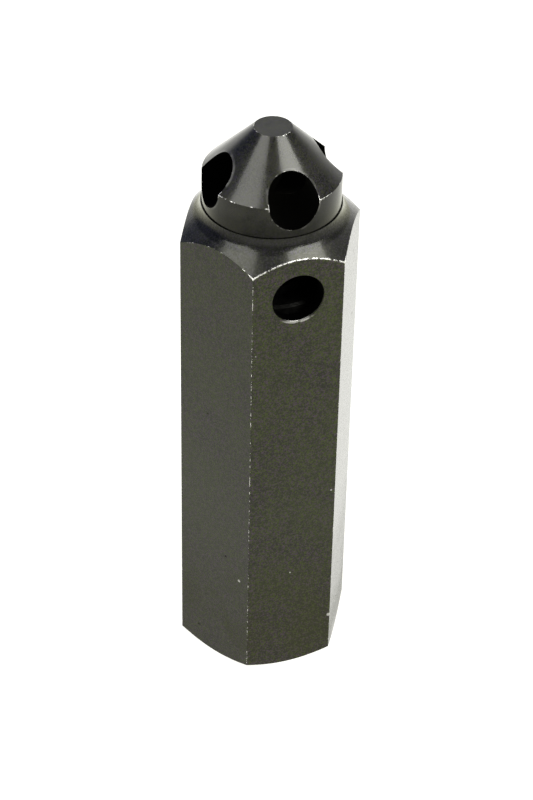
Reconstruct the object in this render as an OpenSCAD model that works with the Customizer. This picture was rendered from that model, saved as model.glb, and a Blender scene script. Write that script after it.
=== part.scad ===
// Automatic centre punch: hexagonal barrel, ported screw-on head, and the spring hammer inside.
// Millimetres. The tool's axis is +Z and the barrel stands on z = 0. The side port opens towards -Y.

/* [Barrel] */
// Width of the hexagonal bar across its flats
across_flats = 19; // [18:0.5:24]
// Height of the lip around the barrel's mouth, above the rear end
barrel_height = 64.1; // [64:0.1:66]
// Thickness of the lip at its very edge
lip_wall = 0.1; // [0.1:0.05:0.3]
// Radius of the fillet that sweeps from the front shoulder up to the lip
lip_fillet_radius = 2; // [1.5:0.1:2.2]
// Diameter where the turned chamfer meets the rear end face
rear_face_diameter = 18.8; // [17:0.1:18.9]
// Angle of the rear chamfer from the end face, degrees
rear_chamfer_angle = 30; // [20:1:45]
// Diameter of the access port in the front flat
side_port_diameter = 6.2; // [4:0.1:8]
// Height of the access port's centre above the rear end
side_port_height = 56.65; // [55:0.05:58]
// Width of the broken edge around the access port
port_edge_break = 0.2; // [0.1:0.05:0.4]

/* [Head] */
// Diameter of the head's neck
neck_diameter = 16; // [14:0.5:18]
// Height of the edge between neck and cone
cone_base_height = 68; // [67:0.1:70]
// Diameter of the flat tip
tip_diameter = 4.4; // [2:0.1:6]
// Length of the tool from rear end to tip
overall_length = 73.8; // [72:0.1:76]
// Diameter of the two drillings that cross in the head
cross_port_diameter = 5.9; // [4:0.1:6.5]
// Length of the skirt that slides inside the barrel
skirt_length = 4.1; // [3.9:0.1:4.3]

/* [Spindle] */
// Diameter of the thread that holds the head
head_thread_diameter = 8; // [6:0.5:10]
// Length of the tapped hole in the head
head_thread_depth = 4.5; // [3:0.1:4.8]
// Diameter of the collar that the head screws down to
collar_diameter = 9.2; // [9:0.1:11]
// Diameter of the hole across the spindle for a locking pin
lock_hole_diameter = 3.2; // [2:0.1:4]
// Diameter of the flange that the return spring lifts
flange_diameter = 14; // [12:0.1:14.5]
// Thickness of the flange
flange_thickness = 1.5; // [1:0.1:2]
// Diameter of the guided shank
shank_diameter = 7; // [6:0.1:8]
// Width across the two flats that key the shank to its bush
shank_flats_width = 5.8; // [5:0.1:6.4]
// Height of the anvil shoulder that the hammer strikes
anvil_height = 38.5; // [38:0.1:39]
// Diameter of the nose that catches the release block
nose_diameter = 2.6; // [2:0.1:3]

/* [Travel] */
// How far the head pushes in before the hammer is released
head_travel = 4.5; // [4:0.1:4.8]
// How far the release block is moved across on the way
block_travel = 1.2; // [1:0.05:1.3]
// How far one turn of the adjuster moves the spring seat
adjuster_pitch = 1; // [0.75:0.25:1.25]

/* [Hammer] */
// Diameter of the hammer
hammer_diameter = 12; // [11:0.1:12.5]
// Height of the hammer's rear end
hammer_rear_height = 16; // [15:0.5:17]
// Length of the hammer
hammer_length = 18; // [17:0.5:19]
// Diameter of the pocket for the main spring
hammer_pocket_diameter = 9.8; // [9:0.1:10]
// Depth of the pocket for the main spring
hammer_pocket_depth = 9; // [8:0.5:10]
// Height of the release block's underside
block_height = 27.5; // [27:0.1:28]
// Thickness of the release block
block_thickness = 5.5; // [5:0.1:5.5]
// Width of the release block
block_width = 5; // [4:0.1:5.5]
// Diameter of the release block's hole, which the nose drops through
block_hole_diameter = 3; // [2.8:0.1:3.4]

/* [Guide bush and rings] */
// Height of the bush's rear face
bush_height = 40.5; // [40:0.1:41]
// Length of the bush
bush_length = 4; // [3:0.1:5]
// Thickness of the internal retaining rings
ring_thickness = 0.9; // [0.8:0.1:1]
// Diameter of the grooves for the internal retaining rings
ring_groove_diameter = 17; // [16.8:0.1:17.2]
// Outside diameter of the clip on the spindle
clip_diameter = 11; // [10:0.5:12]
// Thickness of the clip on the spindle
clip_thickness = 0.8; // [0.6:0.1:1]
// Section diameter of the dust ring
dust_ring_section = 0.8; // [0.6:0.05:0.9]
// Height of the dust ring's centre
dust_ring_height = 60.8; // [60.7:0.1:61]

/* [Springs] */
// Wire diameter of the main spring
main_wire_diameter = 1.2; // [1:0.1:1.3]
// Turns of the main spring
main_turns = 6; // [5:1:7]
// Wire diameter of the return spring
return_wire_diameter = 0.7; // [0.6:0.05:0.8]
// Turns of the return spring
return_turns = 4; // [3:1:4]
// Outside diameter of the return spring
return_spring_diameter = 11.9; // [11:0.1:12]
// Wire diameter of the release block's spring
block_wire_diameter = 0.3; // [0.25:0.05:0.35]
// Turns of the release block's spring
block_spring_turns = 5; // [4:1:6]

/* [Adjuster] */
// Diameter of the thread that carries the adjuster plug
plug_thread_diameter = 16; // [15:0.5:16]
// Height of the plug's rear face
plug_height = 2.8; // [2.7:0.1:3]
// Length of the plug
plug_length = 6.2; // [6:0.1:7]
// Width across the flats of the plug's hex socket
socket_across_flats = 8; // [6:1:8]
// Depth of the plug's hex socket
socket_depth = 4.5; // [4:0.1:5]
// Diameter of the nylon pellet that locks the plug
pellet_diameter = 2; // [1.5:0.1:2.5]
// Thickness of the spring seat's flange
seat_thickness = 1.2; // [1:0.1:1.5]
// Diameter of the spring seat's flange
seat_diameter = 14.8; // [14:0.1:15]

/* [Hidden] */
$fn = 96;
hex_sides = 6;
half_turn = 180;
quarter_turn = 90;
overshoot = 1;
running_gap = 0.05;
end_gap = 0.05;
edge_break = 0.4;
small_break = 0.3;

hex_radius = across_flats / 2 / cos(half_turn / hex_sides);
port_reach = across_flats;
neck_radius = neck_diameter / 2;
front_bore_radius = neck_radius + running_gap;
lip_radius = front_bore_radius + lip_wall;
fillet_rise = lip_fillet_radius * (sqrt(2) - 1);
shoulder_height = barrel_height + lip_radius - fillet_rise - (hex_radius + overshoot);
fillet_steps = 9;
shoulder_angle = 45;
rear_face_radius = rear_face_diameter / 2;
rear_chamfer_height = (hex_radius + overshoot - rear_face_radius) * tan(rear_chamfer_angle);

seat_room = 0.8;
hammer_bore_radius = hammer_diameter / 2 + running_gap;
hammer_bore_start = plug_height + plug_length + seat_thickness + adjuster_pitch + seat_room;
cam_start = block_height - head_travel;
cam_slope = block_travel / head_travel;
block_reach = hammer_bore_radius + block_travel - 2 * running_gap;
mid_bore_radius = 7.5;
cam_end = cam_start + (mid_bore_radius - hammer_bore_radius) / cam_slope;
plug_bore_radius = plug_thread_diameter / 2;
ring_groove_radius = ring_groove_diameter / 2;
ring_groove_width = ring_thickness + 2 * end_gap;
bush_ring_height = bush_height + bush_length;
ring_rim_width = 1.1;
lug_overlap = 0.4;
plug_ring_gap = 0.2;
plug_ring_height = plug_height - ring_groove_width - plug_ring_gap;

skirt_height = barrel_height - skirt_length;
cross_port_radius = cross_port_diameter / 2;
lock_hole_height = side_port_height;
return_spring_length = 8;
flange_height = bush_ring_height + return_spring_length;
shank_radius = shank_diameter / 2;
clip_height = bush_height - clip_thickness - 2 * end_gap;
clip_groove_depth = 0.3;
clip_groove_radius = shank_flats_width / 2 - clip_groove_depth;
nose_tip_height = block_height + block_thickness + end_gap;

hammer_top = hammer_rear_height + hammer_length;
hammer_pocket_floor = hammer_rear_height + hammer_pocket_depth;
slot_wall_x = 4.7;
block_end_room = 0.2;
block_rear_x = slot_wall_x - block_travel - block_end_room;
block_hole_x = block_travel;
block_pocket_x = 1;
block_end_radius = 4;
block_spring_radius = 0.9;
block_pocket_radius = 1.2;
block_middle = block_height + block_thickness / 2;
vent_diameter = 1.6;

seat_height = plug_height + plug_length;
seat_face = seat_height + seat_thickness;
main_spring_radius = hammer_pocket_diameter / 2 - small_break - main_wire_diameter / 2;
spigot_gap = 0.2;
spigot_radius = main_spring_radius - main_wire_diameter / 2 - spigot_gap;
spigot_length = 2;
pellet_inner_x = 5.2;
pellet_outer_x = 7.8;

dust_ring_radius = front_bore_radius + running_gap + dust_ring_section / 2;
dust_groove_radius = dust_ring_radius + dust_ring_section / 2 + running_gap;
dust_groove_width = dust_ring_section + 4 * end_gap;

coil_steps = 24;
wire_sides = 10;
coil_clearance = 0.1;

steel_dark = [0.23, 0.23, 0.20];
steel_bright = [0.62, 0.62, 0.60];
spring_steel = [0.45, 0.46, 0.48];
bronze = [0.66, 0.48, 0.24];
nylon = [0.86, 0.84, 0.76];
rubber_black = [0.06, 0.06, 0.06];

// A round rod or bore between two heights, straight or tapered
module rod(low, high, radius, top_radius = undef) {
  translate([0, 0, low])
    cylinder(h = high - low, r1 = radius, r2 = is_undef(top_radius) ? radius : top_radius);
}

// A round rod whose two ends are chamfered by the given amounts
module chamfered_rod(low, high, radius, low_chamfer, high_chamfer) {
  rod(low, low + low_chamfer, radius - low_chamfer, radius);
  rod(low + low_chamfer, high - high_chamfer, radius);
  rod(high - high_chamfer, high, radius, radius - high_chamfer);
}

// A round cutter along X or Y, centred on the axis at a height
module cross_rod_x(height, radius, length) {
  translate([0, 0, height])
    rotate([0, quarter_turn, 0])
      cylinder(h = length, r = radius, center = true);
}

module cross_rod_y(height, radius, length) {
  translate([0, 0, height])
    rotate([quarter_turn, 0, 0])
      cylinder(h = length, r = radius, center = true);
}

// The slab that cuts two flats along Y-facing sides of a shank or bush hole
module flats_slab(low, high, width) {
  translate([-port_reach / 2, -width / 2, low])
    cube([port_reach, width, high - low]);
}

// Height of a spring's wire after some turns: one close turn at each end and open turns between
function coil_rise(turn, turns, run, close_pitch) =
  turn <= 1 ? close_pitch * turn
  : turn >= turns - 1 ? run - close_pitch * (turns - turn)
  : close_pitch + (run - 2 * close_pitch) * (turn - 1) / (turns - 2);

function coil_point(turn, side, mean_radius, wire_radius, height) =
  [(mean_radius + wire_radius * cos(side)) * cos(360 * turn),
   (mean_radius + wire_radius * cos(side)) * sin(360 * turn),
   height + wire_radius * sin(side)];

// A compression spring standing on z = 0 with closed ends
module coil(mean_radius, wire_diameter, height, turns) {
  wire_radius = wire_diameter / 2;
  run = height - wire_diameter;
  close_pitch = wire_diameter + coil_clearance;
  steps = turns * coil_steps;
  wire_points = [
    for (i = [0 : steps])
      for (j = [0 : wire_sides - 1])
        coil_point(i / coil_steps, 360 * j / wire_sides, mean_radius, wire_radius,
          wire_radius + coil_rise(i / coil_steps, turns, run, close_pitch))
  ];
  lower_faces = [
    for (i = [0 : steps - 1])
      for (j = [0 : wire_sides - 1])
        [i * wire_sides + j, (i + 1) * wire_sides + j, i * wire_sides + (j + 1) % wire_sides]
  ];
  upper_faces = [
    for (i = [0 : steps - 1])
      for (j = [0 : wire_sides - 1])
        [(i + 1) * wire_sides + j, (i + 1) * wire_sides + (j + 1) % wire_sides,
          i * wire_sides + (j + 1) % wire_sides]
  ];
  first_end = [[for (j = [0 : wire_sides - 1]) j]];
  last_end = [[for (j = [0 : wire_sides - 1]) steps * wire_sides + wire_sides - 1 - j]];
  polyhedron(points = wire_points, faces = concat(lower_faces, upper_faces, first_end, last_end));
}

// An internal retaining ring with its gap towards -X and two drilled lugs
module internal_ring(height, lug_radius) {
  outer_radius = ring_groove_radius - 2 * running_gap;
  inner_radius = outer_radius - ring_rim_width;
  lug_centre = inner_radius + lug_overlap - lug_radius;
  lug_angle = 16;
  gap_width = 2.4;
  translate([0, 0, height])
    linear_extrude(height = ring_thickness)
      difference() {
        union() {
          difference() {
            circle(r = outer_radius);
            circle(r = inner_radius);
          }
          for (side = [-1, 1])
            rotate([0, 0, half_turn + side * lug_angle])
              translate([lug_centre, 0])
                circle(r = lug_radius);
        }
        translate([-outer_radius - overshoot, -gap_width / 2])
          square([outer_radius, gap_width]);
        for (side = [-1, 1])
          rotate([0, 0, half_turn + side * lug_angle])
            translate([lug_centre, 0])
              circle(r = lug_radius / 2);
      }
}

// Half section of the turning: rear chamfer, 45 degree front shoulder and the fillet up to the lip
module barrel_turning() {
  turning_radius = hex_radius + overshoot;
  fillet_curve = [
    for (i = [fillet_steps : -1 : 0])
      [lip_radius + lip_fillet_radius * (1 - cos(shoulder_angle * i / fillet_steps)),
       barrel_height - lip_fillet_radius * sin(shoulder_angle * i / fillet_steps)]
  ];
  polygon(concat(
    [[0, 0], [rear_face_radius, 0], [turning_radius, rear_chamfer_height], [turning_radius, shoulder_height]],
    fillet_curve,
    [[0, barrel_height]]));
}

// Hexagonal bar turned at both ends
module barrel_bar() {
  intersection() {
    cylinder(h = barrel_height, r = hex_radius, $fn = hex_sides);
    rotate_extrude()
      barrel_turning();
  }
}

// Everything bored out of the barrel from its two ends
module barrel_bores() {
  rod(-overshoot, 0, plug_bore_radius + edge_break);
  rod(0, edge_break, plug_bore_radius + edge_break, plug_bore_radius);
  rod(0, hammer_bore_start, plug_bore_radius);
  rod(plug_ring_height - end_gap, plug_ring_height - end_gap + ring_groove_width, ring_groove_radius);
  rod(hammer_bore_start - overshoot, cam_start, hammer_bore_radius);
  rod(cam_start, cam_end, hammer_bore_radius, mid_bore_radius);
  rod(cam_end, bush_height, mid_bore_radius);
  rod(bush_height, barrel_height + overshoot, front_bore_radius);
  rod(bush_ring_height, bush_ring_height + ring_groove_width, ring_groove_radius);
  rod(dust_ring_height - dust_groove_width / 2, dust_ring_height + dust_groove_width / 2, dust_groove_radius);
}

// The access port through the front flat, with its broken edge
module side_port() {
  flat_y = across_flats / 2;
  port_radius = side_port_diameter / 2;
  translate([0, -flat_y - overshoot, side_port_height])
    rotate([-quarter_turn, 0, 0])
      cylinder(h = flat_y, r = port_radius);
  translate([0, -flat_y, side_port_height])
    rotate([-quarter_turn, 0, 0])
      cylinder(h = port_edge_break, r1 = port_radius + port_edge_break, r2 = port_radius);
}

module barrel() {
  color(steel_dark)
    difference() {
      barrel_bar();
      barrel_bores();
      side_port();
    }
}

// Neck and cone with two crossing drillings, tapped from below for the spindle
module punch_head() {
  thread_radius = head_thread_diameter / 2;
  color(steel_dark)
    difference() {
      union() {
        rod(skirt_height, skirt_height + small_break, neck_radius - small_break, neck_radius);
        rod(skirt_height + small_break, cone_base_height, neck_radius);
        rod(cone_base_height, overall_length, neck_radius, tip_diameter / 2);
      }
      cross_rod_x(cone_base_height, cross_port_radius, port_reach);
      cross_rod_y(cone_base_height, cross_port_radius, port_reach);
      rod(skirt_height - overshoot, skirt_height + head_thread_depth, thread_radius);
      rod(skirt_height, skirt_height + small_break, thread_radius + small_break, thread_radius);
    }
}

// Threaded stem, locking collar, spring flange, keyed shank, anvil shoulder and nose
module spindle() {
  stem_radius = head_thread_diameter / 2 - running_gap;
  stem_top = skirt_height + head_thread_depth - 2 * end_gap;
  flange_top = flange_height + flange_thickness;
  nose_radius = nose_diameter / 2;
  color(steel_bright)
    difference() {
      union() {
        rod(nose_tip_height, nose_tip_height + small_break, nose_radius - small_break, nose_radius);
        rod(nose_tip_height + small_break, anvil_height, nose_radius);
        intersection() {
          chamfered_rod(anvil_height, flange_height, shank_radius, small_break, 0);
          flats_slab(anvil_height, flange_height, shank_flats_width);
        }
        chamfered_rod(flange_height, flange_top, flange_diameter / 2, small_break, small_break);
        rod(flange_top, skirt_height, collar_diameter / 2);
        chamfered_rod(skirt_height, stem_top, stem_radius, 0, small_break);
      }
      cross_rod_y(lock_hole_height, lock_hole_diameter / 2, port_reach);
      difference() {
        rod(clip_height - end_gap, clip_height + clip_thickness + end_gap, shank_radius + overshoot);
        rod(clip_height - overshoot, clip_height + clip_thickness + overshoot, clip_groove_radius);
      }
    }
}

module dust_ring() {
  color(rubber_black)
    translate([0, 0, dust_ring_height])
      rotate_extrude()
        translate([dust_ring_radius, 0])
          circle(r = dust_ring_section / 2);
}

// Bush with a two-flatted hole that guides the spindle and stops it turning
module guide_bush() {
  bush_top = bush_height + bush_length - end_gap;
  hole_radius = shank_radius + running_gap;
  color(bronze)
    difference() {
      chamfered_rod(bush_height, bush_top, neck_radius, small_break, small_break);
      intersection() {
        rod(bush_height - overshoot, bush_top + overshoot, hole_radius);
        flats_slab(bush_height - overshoot, bush_top + overshoot, shank_flats_width + 2 * running_gap);
      }
      rod(bush_top - small_break, bush_top, hole_radius, hole_radius + small_break);
      rod(bush_height, bush_height + small_break, hole_radius + small_break, hole_radius);
    }
}

module bush_ring() {
  color(spring_steel)
    internal_ring(bush_ring_height + end_gap, 0.6);
}

module plug_ring() {
  color(spring_steel)
    internal_ring(plug_ring_height, 1);
}

// Open clip with three inward lugs that grip the spindle's groove
module spindle_clip() {
  rim_width = 1.3;
  lug_width = 1.8;
  mouth_width = 5;
  grip_radius = clip_groove_radius + running_gap;
  outer_radius = clip_diameter / 2;
  color(spring_steel)
    translate([0, 0, clip_height])
      linear_extrude(height = clip_thickness)
        difference() {
          union() {
            difference() {
              circle(r = outer_radius);
              circle(r = outer_radius - rim_width);
            }
            for (turn = [-quarter_turn, 0, quarter_turn])
              rotate([0, 0, turn])
                translate([0, -lug_width / 2])
                  square([outer_radius - rim_width / 2, lug_width]);
          }
          circle(r = grip_radius);
          translate([-outer_radius - overshoot, -mouth_width / 2])
            square([outer_radius, mouth_width]);
        }
}

module return_spring() {
  mean_radius = (return_spring_diameter - return_wire_diameter) / 2;
  color(spring_steel)
    translate([0, 0, bush_ring_height])
      coil(mean_radius, return_wire_diameter, return_spring_length, return_turns);
}

// Hammer with a rear pocket for the main spring and a cross slot for the release block
module hammer() {
  slot_gap = running_gap;
  color(steel_bright)
    difference() {
      chamfered_rod(hammer_rear_height, hammer_top, hammer_diameter / 2, edge_break, edge_break);
      rod(hammer_rear_height - overshoot, hammer_pocket_floor, hammer_pocket_diameter / 2);
      rod(hammer_pocket_floor - overshoot, block_height, vent_diameter / 2);
      translate([-slot_wall_x, -block_width / 2 - slot_gap, block_height - slot_gap])
        cube([port_reach, block_width + 2 * slot_gap, block_thickness + 2 * slot_gap]);
      rod(block_height + block_thickness, hammer_top + overshoot, nose_diameter / 2 + small_break);
    }
}

// Sliding block: its round end follows the barrel's cam cone and brings its hole under the nose
module release_block() {
  block_top = block_height + block_thickness;
  color(steel_bright)
    difference() {
      union() {
        translate([-block_rear_x, -block_width / 2, block_height])
          cube([block_rear_x + block_reach - block_end_radius, block_width, block_thickness]);
        intersection() {
          translate([block_reach - block_end_radius, 0, 0])
            rod(block_height, block_top, block_end_radius);
          translate([block_reach - block_end_radius - edge_break, -block_width / 2, block_height])
            cube([port_reach, block_width, block_thickness]);
        }
      }
      translate([block_hole_x, 0, 0])
        rod(block_height - overshoot, block_top + overshoot, block_hole_diameter / 2);
      translate([-block_rear_x - overshoot, 0, block_middle])
        rotate([0, quarter_turn, 0])
          cylinder(h = block_rear_x - block_pocket_x + overshoot, r = block_pocket_radius);
    }
}

module block_spring() {
  color(spring_steel)
    translate([-slot_wall_x, 0, block_middle])
      rotate([0, quarter_turn, 0])
        coil(block_spring_radius, block_wire_diameter, slot_wall_x - block_pocket_x, block_spring_turns);
}

module main_spring() {
  color(spring_steel)
    translate([0, 0, seat_face])
      coil(main_spring_radius, main_wire_diameter, hammer_pocket_floor - seat_face, main_turns);
}

// Flanged washer between the adjuster and the main spring
module spring_seat() {
  color(steel_bright) {
    chamfered_rod(seat_height, seat_face, seat_diameter / 2, small_break, small_break);
    chamfered_rod(seat_face, seat_face + spigot_length, spigot_radius, 0, edge_break);
  }
}

// Threaded plug with a hex socket in its rear face and a side hole for the lock pellet
module adjuster_plug() {
  plug_radius = plug_bore_radius - running_gap;
  plug_top = plug_height + plug_length;
  pellet_height = plug_height + plug_length / 2;
  socket_radius = socket_across_flats / 2 / cos(half_turn / hex_sides);
  lead_in_radius = socket_radius + small_break;
  color(steel_dark)
    difference() {
      chamfered_rod(plug_height, plug_top, plug_radius, edge_break, edge_break);
      translate([0, 0, plug_height - overshoot])
        rotate([0, 0, half_turn / hex_sides])
          cylinder(h = socket_depth + overshoot, r = socket_radius, $fn = hex_sides);
      rod(plug_height, plug_height + edge_break, lead_in_radius, lead_in_radius - edge_break);
      translate([pellet_inner_x - running_gap, 0, pellet_height])
        rotate([0, quarter_turn, 0])
          cylinder(h = plug_radius, r = pellet_diameter / 2 + running_gap);
    }
}

module lock_pellet() {
  color(nylon)
    translate([pellet_inner_x, 0, plug_height + plug_length / 2])
      rotate([0, quarter_turn, 0])
        cylinder(h = pellet_outer_x - pellet_inner_x, r = pellet_diameter / 2);
}

barrel();
punch_head();
spindle();
dust_ring();
guide_bush();
bush_ring();
spindle_clip();
return_spring();
hammer();
release_block();
block_spring();
main_spring();
spring_seat();
adjuster_plug();
lock_pellet();
plug_ring();
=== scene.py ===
# %% [markdown]
# # An automatic centre punch in black-oxide steel
# The tool is a short hexagonal barrel with a turned head that slides in its mouth. Inside are a spindle, a
# hammer, a release block and three coil springs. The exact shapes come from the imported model, so this lesson
# is mostly about surfaces: how oil-blackened steel takes light, where it wears bright, and how a lathe leaves
# its marks. The springs are modelled here, because a spring has to be able to shorten as the head is pushed in.

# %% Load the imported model
import math

import bpy
from mathutils import Matrix, Vector


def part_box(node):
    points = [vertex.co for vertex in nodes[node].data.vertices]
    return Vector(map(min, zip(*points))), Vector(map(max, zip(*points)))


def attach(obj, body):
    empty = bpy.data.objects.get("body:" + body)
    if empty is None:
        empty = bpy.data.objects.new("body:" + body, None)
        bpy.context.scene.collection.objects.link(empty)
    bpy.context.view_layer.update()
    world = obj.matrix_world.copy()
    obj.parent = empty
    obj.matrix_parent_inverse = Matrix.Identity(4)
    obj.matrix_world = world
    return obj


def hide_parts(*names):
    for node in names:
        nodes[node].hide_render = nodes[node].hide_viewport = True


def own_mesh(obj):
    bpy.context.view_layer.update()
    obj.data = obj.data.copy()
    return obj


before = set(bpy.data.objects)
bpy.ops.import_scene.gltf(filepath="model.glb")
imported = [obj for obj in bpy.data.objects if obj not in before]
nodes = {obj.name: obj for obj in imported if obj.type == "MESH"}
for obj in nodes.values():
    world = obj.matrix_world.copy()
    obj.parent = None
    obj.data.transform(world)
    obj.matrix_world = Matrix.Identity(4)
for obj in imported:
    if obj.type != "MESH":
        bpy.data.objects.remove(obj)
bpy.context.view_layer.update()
MM = 0.001
print("nodes:", sorted(nodes))

# %% [markdown]
# ## Where the viewer stands
# A camera is four things: a direction, a distance, a target and a lens. The direction is an azimuth round the
# tool and an elevation above the bench, and a small roll tips the frame. Building the rotation as a product of
# three simple turns keeps each of those numbers readable, where a single quaternion would hide them.

# %% Camera
CAMERA_AZIMUTH = math.radians(-20.122)
CAMERA_ELEVATION = math.radians(38.020)
CAMERA_ROLL = math.radians(1.229)
CAMERA_DISTANCE = 293.99 * MM
CAMERA_TARGET = Vector((-0.58, -1.31, 36.17)) * MM
LENS_MM = 109.79
SENSOR_MM = 36.0
NEAR_CLIP = 10 * MM


def place_camera():
    """Adds the camera and aims it at the middle of the barrel."""
    camera_data = bpy.data.cameras.new("bench_camera")
    camera_data.lens = LENS_MM
    camera_data.sensor_width = SENSOR_MM
    camera_data.clip_start = NEAR_CLIP
    camera = bpy.data.objects.new("bench_camera", camera_data)
    bpy.context.scene.collection.objects.link(camera)
    turn = (
        Matrix.Rotation(CAMERA_AZIMUTH, 4, "Z")
        @ Matrix.Rotation(math.pi / 2 - CAMERA_ELEVATION, 4, "X")
        @ Matrix.Rotation(CAMERA_ROLL, 4, "Z")
    )
    backwards = turn.to_3x3() @ Vector((0, 0, 1))
    camera.matrix_world = Matrix.Translation(CAMERA_TARGET + backwards * CAMERA_DISTANCE) @ turn
    bpy.context.scene.camera = camera
    return camera


camera = place_camera()
print("camera at", [round(value, 4) for value in camera.matrix_world.translation])

# %% [markdown]
# ## Building blocks
# Every surface here is built from the same few nodes, so each of them gets a short function that adds the node
# and returns its output. A value may be a number or another node's output, and feed() tells the two apart. A
# finish then reads as arithmetic on masks, with no list of links.

# %% Node helpers
def feed(tree, socket, value):
    """Links value to the socket if it is a socket, and otherwise sets it as the socket's own number."""
    if isinstance(value, bpy.types.NodeSocket):
        tree.links.new(value, socket)
    elif value is not None:
        socket.default_value = value


def fill(tree, node, values, result):
    """Feeds a node's inputs, given by name or number, and returns one of its outputs."""
    for socket, value in values.items():
        feed(tree, node.inputs[socket], value)
    return node.outputs[result]


def math_node(tree, operation, a, b=None, clamp=False):
    """One step of arithmetic."""
    node = tree.nodes.new("ShaderNodeMath")
    node.operation = operation
    node.use_clamp = clamp
    return fill(tree, node, {0: a, 1: b}, "Value")


def chain(tree, operation, values):
    """The same step of arithmetic through several values."""
    result = values[0]
    for value in values[1:]:
        result = math_node(tree, operation, result, value)
    return result


def times(tree, *values):
    """Several masks or numbers multiplied together."""
    return chain(tree, "MULTIPLY", values)


def plus(tree, *values):
    """Several masks or numbers added together."""
    return chain(tree, "ADD", values)


def greatest(tree, *masks):
    """The greatest of several masks, so any one of them is enough."""
    return chain(tree, "MAXIMUM", masks)


def inverse(tree, mask):
    """One minus a mask."""
    return math_node(tree, "SUBTRACT", 1.0, mask, clamp=True)


def vector_math(tree, operation, a, b, result="Vector"):
    """One step of arithmetic on vectors. A distance or a dot product gives its result as "Value"."""
    node = tree.nodes.new("ShaderNodeVectorMath")
    node.operation = operation
    return fill(tree, node, {0: a, 1: b}, result)


def remap(tree, value, low, high, to_low=0.0, to_high=1.0):
    """A smooth step of value from low..high to to_low..to_high."""
    node = tree.nodes.new("ShaderNodeMapRange")
    node.interpolation_type = "SMOOTHSTEP"
    values = {"Value": value, "From Min": low, "From Max": high, "To Min": to_low, "To Max": to_high}
    return fill(tree, node, values, "Result")


def fade(tree, value, low, high):
    """A mask that is one up to low and falls to nothing at high."""
    return remap(tree, value, low, high, 1.0, 0.0)


def mix_colour(tree, factor, a, b):
    """A blend of two colours."""
    node = tree.nodes.new("ShaderNodeMix")
    node.data_type = "RGBA"
    return fill(tree, node, {"Factor": factor, "A": a, "B": b}, "Result")


def mix_value(tree, factor, a, b):
    """A blend of two numbers."""
    return fill(tree, tree.nodes.new("ShaderNodeMix"), {"Factor": factor, "A": a, "B": b}, "Result")


def rgba(colour, share=1.0):
    """Three parts of a colour, each times share, with full opacity."""
    return [share * part for part in colour] + [1.0]


def noise(tree, vector, scale, detail=2.0, roughness=0.5, distortion=0.0):
    """The value of a Noise Texture."""
    node = tree.nodes.new("ShaderNodeTexNoise")
    values = {"Scale": scale, "Detail": detail, "Roughness": roughness, "Distortion": distortion}
    return fill(tree, node, {"Vector": vector, **values}, "Fac")


def bump(tree, height, strength, distance, normal=None):
    """The normal of a surface that a height raises."""
    values = {"Strength": strength, "Distance": distance, "Height": height, "Normal": normal}
    return fill(tree, tree.nodes.new("ShaderNodeBump"), values, "Normal")


def split(tree, vector):
    """The three parts of a vector."""
    node = tree.nodes.new("ShaderNodeSeparateXYZ")
    tree.links.new(vector, node.inputs["Vector"])
    return node.outputs["X"], node.outputs["Y"], node.outputs["Z"]


def distance_2d(tree, a, b, centre_a=0.0, centre_b=0.0):
    """Distance from a centre in the plane of two coordinates."""
    da = math_node(tree, "SUBTRACT", a, centre_a)
    db = math_node(tree, "SUBTRACT", b, centre_b)
    return math_node(tree, "SQRT", plus(tree, times(tree, da, da), times(tree, db, db)))


def spot(tree, point, centre, size):
    """A round mask about a point."""
    return fade(tree, vector_math(tree, "DISTANCE", point, centre, "Value"), size * 0.6, size)


print("node helpers ready")

# %% Material helpers
def deselect_all():
    """Nothing stays selected, so the next operator acts only on what it adds."""
    for item in bpy.context.selected_objects:
        item.select_set(False)
    bpy.context.view_layer.objects.active = None


def new_finish(name):
    """A new material, its node tree, and the point on the piece in its own coordinates, which are the tool's."""
    material = bpy.data.materials.new(name)
    material.use_nodes = True
    tree = material.node_tree
    return material, tree, tree.nodes.new("ShaderNodeTexCoord").outputs["Object"]


def smooth_normal(tree):
    """The normal of the piece itself, before any bump."""
    return tree.nodes.new("ShaderNodeTexCoord").outputs["Normal"]


def paint(tree, values):
    """Feeds inputs of the tree's own Principled BSDF, given by name."""
    for name, value in values.items():
        feed(tree, tree.nodes["Principled BSDF"].inputs[name], value)


def finish_node(node, material):
    """Puts a material on every slot of a carried-over CAD piece."""
    mesh = nodes[node].data
    for index in range(len(mesh.materials)):
        mesh.materials[index] = material


def new_group(name, inputs, outputs):
    """A shader node group, with inputs as {name: (type, default)} and outputs as {name: type}."""
    group = bpy.data.node_groups.new(name, "ShaderNodeTree")
    for socket, (kind, default) in inputs.items():
        made = group.interface.new_socket(name=socket, in_out="INPUT", socket_type="NodeSocket" + kind)
        if default is not None:
            made.default_value = default
    for socket, kind in outputs.items():
        group.interface.new_socket(name=socket, in_out="OUTPUT", socket_type="NodeSocket" + kind)
    return group, group.nodes.new("NodeGroupInput").outputs, group.nodes.new("NodeGroupOutput").inputs


def give(group, outputs, values):
    """Links each value to the group output of that name."""
    for name, value in values.items():
        group.links.new(value, outputs[name])


def place_group(tree, group, **values):
    """Puts a node group in a tree and returns its outputs. Underscores stand for spaces in the socket names."""
    node = tree.nodes.new("ShaderNodeGroup")
    node.node_tree = group
    for name, value in values.items():
        feed(tree, node.inputs[name.replace("_", " ")], value)
    return node.outputs


print("material helpers ready")

# %% [markdown]
# ## A glowing bench and soft light
# Dark steel is seen almost only by what it mirrors. On the flats that is the bench, so the bench glows, as a
# light table does, and has to be a real surface rather than a backdrop colour. Most of its light is its own, so
# the tool throws hardly any shadow on it. On the cone it is the room above, so two soft panels stand either side
# of the viewer with a darker gap between them, and a wide one stands behind. An area light is used for each,
# because it shows in reflections at its true size.

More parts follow.
